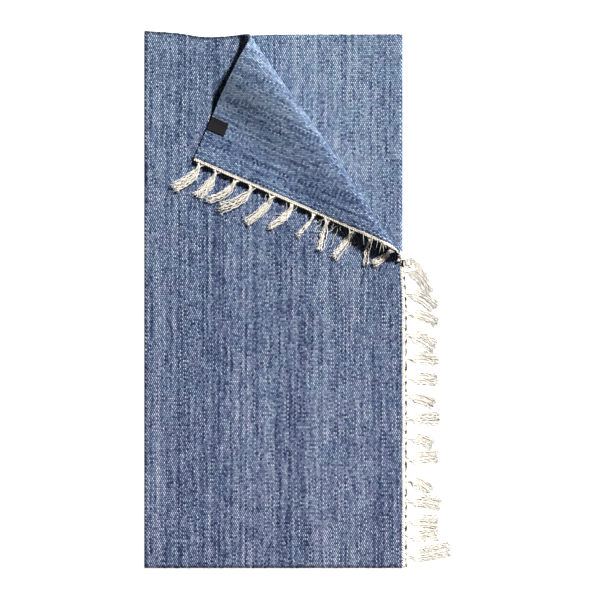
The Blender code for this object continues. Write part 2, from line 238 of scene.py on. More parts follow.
# Broad bands of lighter and darker weft
# distance from the visible end, lightness
WEFT_BANDS = (
    (0 * MM, -0.03),
    (26 * MM, -0.03),
    (68 * MM, 0.09),
    (110 * MM, 0.0),
    (150 * MM, -0.02),
    (193 * MM, 0.04),
    (236 * MM, 0.02),
    (279 * MM, -0.09),
    (318 * MM, -0.05),
    (361 * MM, 0.02),
    (384 * MM, 0.0),
    (590 * MM, -0.07),
    (625 * MM, 0.03),
    (700 * MM, 0.07),
    (740 * MM, 0.04),
    (766 * MM, -0.03),
)

# View: the camera looks straight down on the point that lies at the middle of its picture
VIEW_CENTRE = Vector((39.55 * MM, 0.0))
VIEW_WIDTH = 895.5 * MM
SENSOR_WIDTH = 36.0

# Stage
FLOOR_SIZE = 6.0
FLOOR_SINK = 0.2 * MM
KEY_SOFTNESS = 5
KEY_COLOR = (1.0, 0.99, 0.97)
FILL_COLOR = (0.97, 0.98, 1.0, 1.0)

# Sizes that follow from those above
PITCH = CLOTH_THICKNESS + LAYER_GAP
BEND_RADIUS = PITCH / 2
END_X = FOLDED_LENGTH / 2
BEND_X = END_X - BEND_RADIUS - CLOTH_THICKNESS / 2
BEND_LENGTH = math.pi * BEND_RADIUS
VISIBLE_END_X = END_X - VISIBLE_END_INSET
TOP_RUN = VISIBLE_END_X + BEND_X
MIDDLE_RUN = 2 * BEND_X
UNDER_RUN = BEND_X + END_X - UNDER_END_INSET
RUG_LENGTH = TOP_RUN + 2 * MIDDLE_RUN + UNDER_RUN + 3 * BEND_LENGTH
TOP_Z = CLOTH_THICKNESS / 2 + (LAYERS - 1) * PITCH
TOP_SURFACE = TOP_Z + CLOTH_THICKNESS / 2
FOLD_NORMAL = Vector((-FOLD_DIRECTION.y, FOLD_DIRECTION.x))
PLAIT_OUT = CLEARANCE + STRIP_WIDTH / 2
ROOT_OUT = CLEARANCE + STRIP_WIDTH * 0.7
SHADOW_THREAD_OUT = CLEARANCE + STRIP_WIDTH + SHADOW_THREAD_OUTSIDE

# Rise of the far selvage above a straight line, along the folded stack
# x, rise
SELVAGE_RISE = (
    (-193 * MM, 1.8 * MM),
    (-151 * MM, -1.2 * MM),
    (-132 * MM, -3.4 * MM),
    (-112 * MM, -6.6 * MM),
    (-88 * MM, -7.6 * MM),
    (-60 * MM, -6.0 * MM),
    (-35 * MM, -4.2 * MM),
    (20 * MM, -3.0 * MM),
    (120 * MM, -2.7 * MM),
    (330 * MM, -2.2 * MM),
)

# Visible tassels from the near selvage to the turned-back corner
# place across the rug, heading in degrees from +X, reach, yarns
TOP_TASSELS = (
    (-382 * MM, 7, 70 * MM, 12),
    (-355 * MM, 5, 52 * MM, 9),
    (-330 * MM, -4, 52 * MM, 10),
    (-300 * MM, -6, 56 * MM, 10),
    (-269 * MM, -22, 44 * MM, 9),
    (-237 * MM, 2, 52 * MM, 10),
    (-205 * MM, -14, 46 * MM, 9),
    (-176 * MM, 0, 54 * MM, 10),
    (-143 * MM, -14, 48 * MM, 9),
    (-115 * MM, -3, 50 * MM, 10),
    (-85 * MM, -4, 52 * MM, 10),
    (-51 * MM, -24, 50 * MM, 11),
    (-18 * MM, -16, 52 * MM, 10),
    (9 * MM, -24, 52 * MM, 10),
    (38 * MM, -38, 50 * MM, 9),
    (60 * MM, -42, 54 * MM, 9),
    (77 * MM, 222, 36 * MM, 10),
    (110 * MM, 258, 40 * MM, 5),
    (140 * MM, 236, 50 * MM, 10),
    (179 * MM, 252, 49 * MM, 7),
    (203 * MM, 234, 42 * MM, 6),
    (237 * MM, 225, 51 * MM, 10),
    (270 * MM, 227, 58 * MM, 9),
    (303 * MM, 214, 60 * MM, 10),
    (329 * MM, 217, 54 * MM, 9),
    (361 * MM, 233, 50 * MM, 10),
    (388 * MM, 223, 55 * MM, 13),
)


def smooth_step(value):
    """Ease from 0 to 1 while value goes from 0 to 1."""
    held = min(max(value, 0.0), 1.0)
    return held * held * (3 - 2 * held)


def selvage_rise(x):
    """Rise of the far selvage at x: a smooth curve through the rows of the table."""
    rows = SELVAGE_RISE
    if x <= rows[0][0]:
        return rows[0][1]
    if x >= rows[-1][0]:
        return rows[-1][1]
    index = max(i for i in range(len(rows) - 1) if rows[i][0] <= x)
    before = rows[max(index - 1, 0)]
    start = rows[index]
    stop = rows[index + 1]
    after = rows[min(index + 2, len(rows) - 1)]
    width = stop[0] - start[0]
    start_slope = (stop[1] - before[1]) / (stop[0] - before[0]) * width
    stop_slope = (after[1] - start[1]) / (after[0] - start[0]) * width
    t = (x - start[0]) / width
    return (
        (2 * t**3 - 3 * t**2 + 1) * start[1]
        + (t**3 - 2 * t**2 + t) * start_slope
        + (3 * t**2 - 2 * t**3) * stop[1]
        + (t**3 - t**2) * stop_slope
    )


def swell(x, y):
    """Height that the top layer gains where the stack lies a little loose."""
    along = math.sin(2 * math.pi * x / SWELL_LENGTH + 0.6)
    across = math.sin(2 * math.pi * y / SWELL_WIDTH + x / SWELL_SKEW)
    return SWELL_HEIGHT * (0.5 + 0.25 * along + 0.25 * across)


def roll_radius(along):
    """Radius of the roll of cloth at a place along the fold line, wide at the far selvage."""
    share = smooth_step((along - WIDE_ROLL_AT) / (TIGHT_ROLL_AT - WIDE_ROLL_AT))
    return WIDE_ROLL_RADIUS + (TIGHT_ROLL_RADIUS - WIDE_ROLL_RADIUS) * share


def turn_corner(x, y):
    """Fold the corner of the top layer back over it: plan place and height above the layer."""
    flat = Vector((x, y)) - FOLD_POINT
    along = flat.dot(FOLD_DIRECTION)
    across = flat.dot(FOLD_NORMAL)
    radius = roll_radius(along)
    wideness = (radius - TIGHT_ROLL_RADIUS) / (WIDE_ROLL_RADIUS - TIGHT_ROLL_RADIUS)
    fall = SHORT_FALL + (LONG_FALL - SHORT_FALL) * wideness
    drop = 2 * radius - PITCH
    slack = (math.pi * drop / 4) ** 2 / fall
    half_turn = math.pi * radius
    half_used = (half_turn + slack) / 2
    gone = across + half_used
    if gone <= -SLIDE_LEAD:
        return x, y, 0.0
    height = 0.0
    if gone >= half_turn:
        share = min((gone - half_turn) / (fall + slack), 1.0)
        height = PITCH + drop * (1 + math.cos(math.pi * share)) / 2
        across = -half_used - fall * share if share < 1 else -across
    elif gone > 0:
        across = -half_used + radius * math.sin(gone / radius)
        height = radius * (1 - math.cos(gone / radius))
    slide_share = SHORT_SLIDE_SHARE + (1 - SHORT_SLIDE_SHARE) * wideness
    slide_length = SLIDE_LEAD + half_turn + slack + fall * slide_share
    along -= CORNER_SLIDE * smooth_step((gone + SLIDE_LEAD) / slide_length)
    place = FOLD_POINT + FOLD_DIRECTION * along + FOLD_NORMAL * across
    return place.x, place.y, height


def fold_path(distance):
    """Place in the zigzag of layers at a distance from the visible end: x, and z of the middle."""
    if distance <= TOP_RUN:
        return VISIBLE_END_X - distance, TOP_Z
    left = distance - TOP_RUN
    x = -BEND_X
    z = TOP_Z
    side = -1
    for run in (MIDDLE_RUN, MIDDLE_RUN, 2 * END_X):
        if left < BEND_LENGTH:
            angle = left / BEND_RADIUS
            x += side * BEND_RADIUS * math.sin(angle)
            return x, z - BEND_RADIUS * (1 - math.cos(angle))
        left -= BEND_LENGTH
        z -= PITCH
        if left <= run:
            return x - side * left, z
        left -= run
        x = -x
        side = -side
    return x, z


def cloth_point(distance, across):
    """Middle of the cloth at a distance from its visible end and a place across its width."""
    x, z = fold_path(distance)
    rise_share = across / RUG_WIDTH + 0.5
    y = across + selvage_rise(x) * rise_share
    layer_share = (z - CLOTH_THICKNESS / 2) / (TOP_Z - CLOTH_THICKNESS / 2)
    if distance < TOP_RUN:
        x, y, height = turn_corner(x, y)
        z += height
    return Vector((x, y, z + layer_share * swell(x, y)))


def cloth_frame(distance, across):
    """Point of the cloth, its direction towards the visible end, and its upper side's normal."""
    step = 0.5 * MM
    here = cloth_point(distance, across)
    nearer = cloth_point(distance - step, across)
    further = cloth_point(distance + step, across)
    towards_end = (nearer - further).normalized()
    left = cloth_point(distance, across + step)
    right = cloth_point(distance, across - step)
    sideways = (left - right).normalized()
    return here, towards_end, towards_end.cross(sideways).normalized()


def steps_between(start, stop, longest):
    """Places from start to stop, evenly spaced, no further apart than longest."""
    rounding = 1e-6
    count = max(1, math.ceil((stop - start) / longest - rounding))
    return [start + (stop - start) * i / count for i in range(count + 1)]


class Nodes:
    """A material's node tree, with short ways to add and join its nodes."""

    def __init__(self, name):
        self.material = bpy.data.materials.new(name)
        self.material.use_nodes = True
        self.tree = self.material.node_tree
        self.shader = self.tree.nodes["Principled BSDF"]

    def add(self, kind, **settings):
        """Add a node and set its properties."""
        made = self.tree.nodes.new(kind)
        for key, value in settings.items():
            setattr(made, key, value)
        return made

    def feed(self, socket, value):
        """Join a socket to another's output, or set its value."""
        if isinstance(value, bpy.types.NodeSocket):
            self.tree.links.new(value, socket)
        else:
            socket.default_value = value

    def math(self, operation, *values, clamp=False):
        """A math node's result."""
        made = self.add("ShaderNodeMath", operation=operation, use_clamp=clamp)
        for index, value in enumerate(values):
            self.feed(made.inputs[index], value)
        return made.outputs[0]

    def vector(self, x=0.0, y=0.0, z=0.0):
        """Three numbers as a vector."""
        made = self.add("ShaderNodeCombineXYZ")
        for index, value in enumerate((x, y, z)):
            self.feed(made.inputs[index], value)
        return made.outputs[0]

    def noise(self, place, scale, detail=2.0, roughness=0.5):
        """Noise around zero, about one wide."""
        widening = 2.4
        made = self.add("ShaderNodeTexNoise")
        self.feed(made.inputs["Vector"], place)
        made.inputs["Scale"].default_value = scale
        made.inputs["Detail"].default_value = detail
        made.inputs["Roughness"].default_value = roughness
        return self.math("MULTIPLY", self.math("SUBTRACT", made.outputs[0], 0.5), widening)

    def ramp(self, value, stops):
        """Colours along a value from 0 to 1."""
        made = self.add("ShaderNodeValToRGB")
        band = made.color_ramp
        while len(band.elements) < len(stops):
            band.elements.new(0.5)
        for element, (place, color) in zip(band.elements, stops):
            element.position = place
            element.color = (*color, 1.0)
        self.feed(made.inputs[0], value)
        return made.outputs[0]

    def shade(self, color, factor):
        """A colour times a number."""
        made = self.add("ShaderNodeVectorMath", operation="SCALE")
        self.feed(made.inputs[0], color)
        self.feed(made.inputs["Scale"], factor)
        return made.outputs[0]

    def bump(self, height, distance, strength):
        """Raise the surface by a height."""
        made = self.add("ShaderNodeBump")
        made.inputs["Strength"].default_value = strength
        made.inputs["Distance"].default_value = distance
        self.feed(made.inputs["Height"], height)
        self.feed(self.shader.inputs["Normal"], made.outputs[0])

    def gloss(self, roughness, specular, sheen=0.0, sheen_roughness=0.5):
        """Set how the surface reflects, the same all over it."""
        inputs = self.shader.inputs
        inputs["Roughness"].default_value = roughness
        inputs["Specular IOR Level"].default_value = specular
        inputs["Sheen Weight"].default_value = sheen
        inputs["Sheen Roughness"].default_value = sheen_roughness

    def place_on(self, map_name):
        """The two numbers of a map: the place on the cloth, or on a yarn."""
        place = self.add("ShaderNodeUVMap", uv_map=map_name)
        split = self.add("ShaderNodeSeparateXYZ")
        self.feed(split.inputs[0], place.outputs[0])
        return split.outputs[0], split.outputs[1]


def weave_beads(look, along, across, settings):
    """Beads of weft over the warp: their height, and the row of the yarn that shows at a place."""
    wander = look.noise(look.vector(along, across), WANDERS_PER_METRE, detail=1.0)
    even_rows = look.math("DIVIDE", along, settings.weft_pitch)
    rows = look.math("MULTIPLY_ADD", wander, ROW_WANDER, even_rows)
    row = look.math("FLOOR", rows)
    in_row = look.math("FRACT", rows)
    half_step = look.math("MULTIPLY", look.math("FLOORED_MODULO", row, 2.0), 0.5)
    phase = look.math("ADD", look.math("DIVIDE", across, 2 * settings.warp_pitch), half_step)
    turn = look.math("MULTIPLY_ADD", look.math("FRACT", phase), 2 * math.pi, math.pi)
    over = look.math("MULTIPLY_ADD", look.math("COSINE", turn), 0.5, 0.5)
    under = look.math("SUBTRACT", 1.0, over)
    from_middle = look.math("ABSOLUTE", look.math("MULTIPLY_ADD", in_row, 2.0, -1.0))
    fullness = look.math("SUBTRACT", 1.0, look.math("POWER", from_middle, BEAD_SHARPNESS))
    own = look.math("MULTIPLY", fullness, over)
    beside = look.math("MULTIPLY", look.math("MULTIPLY", from_middle, under), NEXT_ROW_HEIGHT)
    covered = look.math("GREATER_THAN", beside, own)
    side = look.math("SIGN", look.math("SUBTRACT", in_row, 0.5))
    return look.math("MAXIMUM", own, beside), look.math("MULTIPLY_ADD", covered, side, row)


def yarn_marks(look, yarn_place, across, per_metre, layer, detail=1.0):
    """Lighter and darker marks along each yarn of weft."""
    place = look.vector(yarn_place, look.math("MULTIPLY", across, per_metre), layer)
    return look.noise(place, 1.0, detail=detail)


def weave_tone(look, along, across, yarn, settings):
    """Lightness of the heathered weft: each yarn's own, its streaks and flecks, broad bands, and
    painted light towards the far side.
    """
    lot = look.add("ShaderNodeTexWhiteNoise", noise_dimensions="1D")
    look.feed(lot.inputs["W"], yarn)
    own = look.math("SUBTRACT", lot.outputs["Value"], 0.5)
    place = look.math("MULTIPLY", own, YARN_LOTS)
    long_streak = yarn_marks(look, place, across, LONG_STREAKS_PER_METRE, 0.0)
    streak = yarn_marks(look, place, across, STREAKS_PER_METRE, 7.0)
    fleck = yarn_marks(look, place, across, FLECKS_PER_METRE, 3.0, detail=0.0)
    band_along = look.math("MULTIPLY", along, BANDS_PER_METRE)
    band_across = look.math("MULTIPLY", across, BAND_DRIFTS_PER_METRE)
    band = look.noise(look.vector(band_along, band_across), 1.0, detail=4.0, roughness=0.72)
    last = WEFT_BANDS[-1][0]
    stops = [(distance / last, (0.5 + lightness,) * 3) for distance, lightness in WEFT_BANDS]
    tone = look.ramp(look.math("DIVIDE", along, last), stops)
    for mark, contrast in (
        (own, settings.yarn_contrast),
        (long_streak, settings.streak_contrast),
        (streak, settings.streak_contrast),
        (fleck, settings.fleck_contrast),
        (band, settings.band_contrast),
    ):
        tone = look.math("MULTIPLY_ADD", mark, contrast, tone)
    # painted light: lighter towards the far side of the rug
    return look.math("MULTIPLY_ADD", across, FAR_SIDE_PAINTED_LIGHT, tone, clamp=True)


def rim_shade(look, along, across, strength):
    """Painted shade along the selvage's rounded rim, broken by the lighter turns of the weft."""
    from_rim = look.math("SUBTRACT", look.math("ABSOLUTE", across), RUG_WIDTH / 2 - RIM_WIDTH)
    near = look.math("DIVIDE", from_rim, RIM_WIDTH * RIM_FADE, clamp=True)
    turns = look.noise(look.vector(look.math("MULTIPLY", along, TURNS_PER_METRE)), 1.0, detail=1.0)
    dark = look.math("MULTIPLY_ADD", turns, RIM_BREAKS, RIM_SHADE_DEPTH, clamp=True)
    rim_painted_shade = look.math("MULTIPLY", look.math("MULTIPLY", near, dark), strength)
    return look.math("SUBTRACT", 1.0, rim_painted_shade)


def dye_tint(look, along, across, bluer, variation):
    """Uneven dye: some places lean to green, some to violet, and the far side to blue."""
    dye = look.noise(look.vector(along, across), DYE_PATCHES_PER_METRE, detail=3.0)
    red = look.math("MULTIPLY_ADD", dye, -variation, 1.0 - bluer)
    red = look.math("MULTIPLY_ADD", across, -FAR_SIDE_BLUER, red)
    green = look.math("MULTIPLY_ADD", dye, variation * GREEN_SHARE, 1.0 - bluer * GREEN_SHARE)
    return look.vector(red, green, 1.0)


def weave_material(name, settings, lighter, bluer, pale, edge_shade):
    """Weft-faced plain weave of heathered yarn, each row half a step from the next, with painted
    shade between the beads and along the rim, and painted light on the reverse and towards the far
    side.
    """
    look = Nodes(name)
    along, across = look.place_on("cloth_place")
    height, yarn = weave_beads(look, along, across, settings)
    tone = weave_tone(look, along, across, yarn, settings)
    # painted light: the reverse is painted paler away from its visible end
    painted_light_share = look.math("DIVIDE", look.math("SUBTRACT", along, PAINTED_LIGHT_FROM), PAINTED_LIGHT_RUN, clamp=True)
    tone = look.math("ADD", look.math("MULTIPLY_ADD", painted_light_share, pale, tone), lighter)
    color = look.ramp(tone, (
        (0.0, settings.dark_yarn),
        (0.25, settings.navy_yarn),
        (0.5, settings.blue_yarn),
        (0.75, settings.grey_yarn),
        (1.0, settings.light_yarn),
    ))
    tinted = look.add("ShaderNodeVectorMath", operation="MULTIPLY")
    look.feed(tinted.inputs[0], color)
    look.feed(tinted.inputs[1], dye_tint(look, along, across, bluer, settings.dye_variation))
    # painted shade: darker in the gaps between the beads of weft
    painted_shade = look.math("MULTIPLY_ADD", height, 1 - settings.gap_shade, settings.gap_shade)
    # painted shade along the selvage's rounded rim, on the face only
    if edge_shade:
        painted_shade = look.math("MULTIPLY", painted_shade, rim_shade(look, along, across, edge_shade))
    look.feed(look.shader.inputs["Base Color"], look.shade(tinted.outputs[0], painted_shade))
    fibre_along = look.math("MULTIPLY", along, FIBRES_PER_METRE[0])
    fibre_across = look.math("MULTIPLY", across, FIBRES_PER_METRE[1])
    fibre = look.noise(look.vector(fibre_along, fibre_across), 1.0, detail=1.0)
    look.bump(look.math("MULTIPLY_ADD", fibre, FIBRE_RELIEF, height), BEAD_RELIEF, 1.0)
    look.gloss(roughness=0.92, specular=0.2, sheen=0.06, sheen_roughness=0.6)
    return look.material


def floor_shade(look, place):
    """Painted shade on yarn by its height: a little darker where it lies on the floor."""
    heights = look.add("ShaderNodeSeparateXYZ")
    look.feed(heights.inputs[0], place)
    above = look.math("SUBTRACT", heights.outputs[2], PAINTED_SHADE_UP_TO)
    unshaded_share = look.math("DIVIDE", above, PAINTED_SHADE_FADE, clamp=True)
    return look.math("MULTIPLY_ADD", unshaded_share, FLOOR_PAINTED_SHADE, 1 - FLOOR_PAINTED_SHADE)


def yarn_material(name, color, groove_light, fuzz):
    """Soft two-ply cotton: slanting plies with painted shade in their grooves, fine fibres, a
    little warm unevenness, and painted shade low by the floor.
    """
    look = Nodes(name)
    around, along = look.place_on("yarn_place")
    turns = look.math("MULTIPLY_ADD", along, 1 / YARN_TWIST, around)
    ply = look.math("ABSOLUTE", look.math("SINE", look.math("MULTIPLY", turns, 2 * math.pi)))
    place = look.add("ShaderNodeTexCoord").outputs["Object"]
    patch = look.noise(place, 60.0, detail=2.0)
    fibre = look.noise(place, 1500.0, detail=1.0)
    # painted shade: darker in the grooves between the plies
    ply_painted_shade = look.math("POWER", ply, 0.5)
    light = look.math("MULTIPLY_ADD", ply_painted_shade, 1 - groove_light, groove_light)
    light = look.math("MULTIPLY_ADD", patch, 0.07, light)
    light = look.math("MULTIPLY_ADD", fibre, 0.06, light)
    light = look.math("MULTIPLY", light, floor_shade(look, place))
    look.feed(look.shader.inputs["Base Color"], look.shade(color, light))
    look.bump(look.math("MULTIPLY_ADD", fibre, 0.2, ply), 0.4 * MM, 0.45)
    look.gloss(roughness=0.9, specular=0.25, sheen=fuzz)
    return look.material


def label_material(color):
    """Dense dark tape with fine ribs."""
    look = Nodes("label_tape")
    along, across = look.place_on("cloth_place")
    rib = look.math("SINE", look.math("MULTIPLY", across, 2 * math.pi / LABEL_RIB))
    thread = look.math("SINE", look.math("MULTIPLY", along, 2 * math.pi / LABEL_THREAD))
    grain = look.noise(look.vector(along, across), 900.0)
    light = look.math("MULTIPLY_ADD", rib, 0.12, look.math("MULTIPLY_ADD", grain, 0.15, 1.0))
    look.feed(look.shader.inputs["Base Color"], look.shade(color, light))
    look.bump(look.math("MULTIPLY_ADD", thread, 0.3, rib), 0.15 * MM, 0.5)
    look.gloss(roughness=0.7, specular=0.2)
    return look.material


class Tubes:
    """Many round yarns in one mesh, with a map of the turn round each and the way along it."""

    def __init__(self):
        self.points = []
        self.faces = []
        self.places = []

    def add(self, path, radii, sides):
        """Add one yarn along a line of points."""
        ahead = (path[1] - path[0]).normalized()
        across = ahead.orthogonal().normalized()
        first = len(self.points)
        gone = 0.0
        start_gone = random.random()
        for index, point in enumerate(path):
            before = path[max(index - 1, 0)]
            after = path[min(index + 1, len(path) - 1)]
            ahead = (after - before).normalized()
            across = (across - ahead * across.dot(ahead)).normalized()
            other = ahead.cross(across)
            gone += (point - before).length
            for side in range(sides):
                angle = 2 * math.pi * side / sides
                offset = across * math.cos(angle) + other * math.sin(angle)
                self.points.append(point + offset * radii[index])
                self.places.append((side / sides, start_gone + gone))
        for ring in range(len(path) - 1):
            low = first + ring * sides
            high = low + sides
            for side in range(sides):
                beside = (side + 1) % sides
                self.faces.append((low + side, low + beside, high + beside, high + side))
        last = first + (len(path) - 1) * sides
        self.faces.append(tuple(reversed(range(first, first + sides))))
        self.faces.append(tuple(range(last, last + sides)))

    def finish(self, name, material):
        """Make the object."""
        mesh = bpy.data.meshes.new(name)
        mesh.from_pydata(self.points, [], self.faces)
        layer = mesh.uv_layers.new(name="yarn_place")
        for polygon in mesh.polygons:
            corners = [self.places[mesh.loops[loop].vertex_index] for loop in polygon.loop_indices]
            wraps = max(u for u, _ in corners) - min(u for u, _ in corners) > 0.5
            for loop, (u, v) in zip(polygon.loop_indices, corners):
                layer.data[loop].uv = (u + 1 if wraps and u < 0.5 else u, v)
        mesh.shade_smooth()
        mesh.materials.append(material)
        return link_object(name, mesh)


def link_object(name, mesh):
    """Put a mesh in the scene as an object."""
    thing = bpy.data.objects.new(name, mesh)
    bpy.context.scene.collection.objects.link(thing)
    return thing


def place_piece(piece, slot, *nodes):
    """Fix a piece to the rug, and let it stand for its solids."""
    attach(piece, "root")
    if nodes:
        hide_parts(*nodes)


def cloth_columns():
    """Distances from the visible end of the cloth's columns, closest where they show most."""
    fine = COLUMN_STEP
    places = [0.0]
    start = 0.0
    for run, step in (
        (TOP_RUN, fine),
        (MIDDLE_RUN, 2 * fine),
        (MIDDLE_RUN, HIDDEN_COLUMN_STEP),
        (UNDER_RUN, HIDDEN_COLUMN_STEP),
    ):
        places += steps_between(start, start + run, step)[1:]
        start += run
        if start < RUG_LENGTH - MM:
            places += steps_between(start, start + BEND_LENGTH, BEND_LENGTH / BEND_STEPS)[1:]
            start += BEND_LENGTH
    return places


def cloth_rows():
    """Places across the rug of the cloth's rows, closest together in the half that turns back."""
    half = RUG_WIDTH / 2
    fine = ROW_STEP
    rows = [-half] + steps_between(-half + EDGE_ROW, 0, PLAIN_ROW_STEP)
    return rows + steps_between(0, half - EDGE_ROW, fine)[1:] + [half]


def selvage_wander(distance):
    """Small irregular steps of the selvage along the rug."""
    slow = math.sin(distance / (7.3 * MM)) + math.sin(distance / (4.1 * MM) + 1.7)
    quick = math.sin(distance / (1.9 * MM) + 0.4)
    return SLOW_WANDER * slow + QUICK_WANDER * quick


def make_cloth(settings):
    """The folded cloth as one fine sheet, with its place in the weave as a map."""
    columns = cloth_columns()
    rows = cloth_rows()
    bm = bmesh.new()
    bmesh.ops.create_grid(bm, x_segments=len(columns) - 1, y_segments=len(rows) - 1, size=0.5)
    layer = bm.loops.layers.uv.new("cloth_place")
    half = RUG_WIDTH / 2
    for vert in bm.verts:
        distance = columns[round((vert.co.x + 0.5) * (len(columns) - 1))]
        across = rows[round((vert.co.y + 0.5) * (len(rows) - 1))]
        for loop in vert.link_loops:
            loop[layer].uv = (distance, across)
        if half - abs(across) < MM:
            across += math.copysign(selvage_wander(distance), across)
        vert.co = cloth_point(distance, across)
    mesh = bpy.data.meshes.new("rug_weave")
    bm.to_mesh(mesh)
    bm.free()
    mesh.shade_smooth()
    # the reverse gets painted light: paler away from the visible end
    reverse = weave_material("weave_reverse", settings, 0.0, REVERSE_BLUER, REVERSE_PAINTED_LIGHT, 0.0)
    face_light = settings.face_lightness
    # the face gets painted shade along the selvage's rim
    face = weave_material("weave_face", settings, face_light, 0.0, 0.0, FACE_EDGE_SHADE)
    mesh.materials.append(reverse)
    mesh.materials.append(face)
    cloth = link_object("rug_weave", mesh)
    shell = cloth.modifiers.new("Thickness", "SOLIDIFY")
    shell.thickness = CLOTH_THICKNESS
    shell.offset = 0.0
    shell.use_even_offset = True
    shell.material_offset = 1
    shell.material_offset_rim = 1
    rim = cloth.modifiers.new("Rounded_edges", "BEVEL")
    rim.width = ROUNDED_EDGE
    rim.segments = 3
    rim.limit_method = "ANGLE"
    rim.angle_limit = math.radians(55)
    return cloth


def plait_paths(distance, outwards, step):
    """Three strands of a flat plait along one end of the cloth."""
    half = RUG_WIDTH / 2 - MM
    count = int(2 * half / step)
    paths = ([], [], [])
    for index in range(count + 1):
        place = -half + 2 * half * index / count
        turn = 2 * math.pi * place / PLAIT_TURN
        wander = PLAIT_WANDER * math.sin(place / PLAIT_WANDER_LENGTH)
        for strand, path in enumerate(paths):
            angle = turn + strand * 2 * math.pi / 3
            sway = PLAIT_SWAY * math.sin(angle) + wander
            lift = PLAIT_LIFT * math.sin(2 * angle)
            centre = distance + outwards * (PLAIT_OUT + sway)
            point, _, normal = cloth_frame(centre, place)
            path.append(point + normal * lift)
    return paths


def plait_radii(count):
    """Uneven thickness of a strand of the plait at each of its points."""
    swing = [math.sin(0.55 * index) * math.sin(0.083 * index + 1) for index in range(count)]
    return [PLAIT_RADIUS * (1 + PLAIT_UNEVENNESS * share) for share in swing]


def floor_height(place):
    """Height of the floor, the same at each place."""
    return 0.0


def top_layer_height(place):
    """Height of the top layer's upper side."""
    return TOP_SURFACE + swell(place.x, place.y)


class Ground(NamedTuple):
    """What tassels lie on, and how they lie there."""

    height: Callable
    drop_length: float
    lane: float
    level_share: float
    fullness: float


# Beside the stack the tassels spread on the floor, and on the corner they stay in thick locks
FLOOR = Ground(floor_height, drop_length=26 * MM, lane=0.6 * MM, level_share=0.5, fullness=3.1)
UNDER_STACK = FLOOR._replace(lane=0.85 * MM, fullness=1)
TOP_LAYER = Ground(
    top_layer_height, drop_length=22 * MM, lane=0.85 * MM, level_share=1, fullness=1.3,
)


def tassel_path(root, outward, heading, reach, drop_length, rest_height):
    """Points of a tassel's middle line: square out of the edge, then a bend as it falls."""
    chord = math.radians(heading)
    tip = root + Vector((math.cos(chord), math.sin(chord), 0)) * reach
    first = math.atan2(outward.y, outward.x)
    bend = (chord - first + math.pi) % (2 * math.pi) - math.pi
    last = first + bend * TASSEL_BEND
    lead = Vector((math.cos(first), math.sin(first), 0)) * reach * TASSEL_LEAD
    trail = Vector((math.cos(last), math.sin(last), 0)) * reach * TASSEL_TRAIL
    path = []
    gone = 0.0
    previous = root
    for point in interpolate_bezier(root, root + lead, tip - trail, tip, TASSEL_POINTS):
        point = Vector((point.x, point.y, root.z))
        gone += (point - previous).length
        previous = point
        fallen = smooth_step(gone / drop_length)
        resting = rest_height(point) + TASSEL_REST
        path.append(Vector((point.x, point.y, root.z + (resting - root.z) * fallen)))
    return path


def path_length(path):
    """Length of a line of points."""
    return sum((path[i + 1] - path[i]).length for i in range(len(path) - 1))


def along_path(path, distance):
    """Point and the directions ahead, aside and up at a distance along a line of points."""
    left = distance
    index = 0
    while index < len(path) - 2 and left > (path[index + 1] - path[index]).length:
        left -= (path[index + 1] - path[index]).length
        index += 1
    ahead = (path[index + 1] - path[index]).normalized()
    aside = Vector((0, 0, 1)).cross(ahead).normalized()
    return path[index] + ahead * left, aside, ahead.cross(aside)


def make_yarn(tubes, path, ground, place, level, length, width):
    """One yarn of a tassel: out of the plait, gathered at the neck, then loose beside others."""
    radius = random.uniform(*YARN_RADII)
    root_place = place * NECK_SPREAD
    gather_angle = random.uniform(0, 2 * math.pi)
    gather = NECK_RADIUS * math.sqrt(random.random())
    lane = place * width + random.gauss(0, LANE_SPREAD)
    stray = random.gauss(0, END_SPREAD)
    wave = random.uniform(*WAVES)
    wave_length = random.uniform(*WAVE_LENGTHS)
    wave_start = random.uniform(0, 2 * math.pi)
    points = []
    steps = 22
    for step in range(steps + 1):
        share = step / steps
        distance = (length + ROOT_INSIDE) * share - ROOT_INSIDE
        centre, aside, up = along_path(path, max(distance, 0.0))
        if distance < 0:
            centre = path[0] + (path[0] - path[1]).normalized() * -distance
        gathered = smooth_step(distance / NECK_GATHER)
        loose = smooth_step((distance - LOOSE_FROM) / LOOSE_RUN)
        turn = distance / wave_length * 2 * math.pi + wave_start
        neck_across = root_place * (1 - gathered) + gather * math.cos(gather_angle) * gathered
        neck_height = gather * math.sin(gather_angle) * gathered
        loose_across = lane + stray * share * share + wave * math.sin(turn)
        loose_height = level + wave * 0.5 * math.cos(turn * 0.7)
        across = neck_across * (1 - loose) + loose_across * loose
        height = neck_height * (1 - loose) + loose_height * loose
        point = centre + aside * across + up * height
        point.z = max(point.z, ground.height(point) + radius)
        points.append(point)
    tubes.add(points, [radius * (1 - YARN_TAPER * step / steps) for step in range(steps + 1)], 6)
    return points


def make_fray(tubes, yarn, rest_height):
    """Fine fibres that spread from a yarn's cut end."""
    tip = yarn[-1]
    ahead = (yarn[-1] - yarn[-3]).normalized()
    last = len(FRAY_RADII) - 1
    for _ in range(FRAYS_PER_YARN):
        turn = random.gauss(0, FRAY_TURN)
        direction = Vector((
            ahead.x * math.cos(turn) - ahead.y * math.sin(turn),
            ahead.x * math.sin(turn) + ahead.y * math.cos(turn),
            random.uniform(0.0, FRAY_LIFT),
        ))
        bend = direction.cross(Vector((0, 0, 1))) * random.gauss(0, FRAY_BEND)
        length = random.uniform(*FRAY_LENGTHS)
        points = []
        for step in range(last + 1):
            share = step / last
            point = tip - ahead * FRAY_ROOT * (1 - share) + direction * length * share
            point += bend * length * share * share
            point.z = max(point.z, rest_height(point) + FRAY_CLEARANCE)
            points.append(point)
        tubes.add(points, FRAY_RADII, 4)


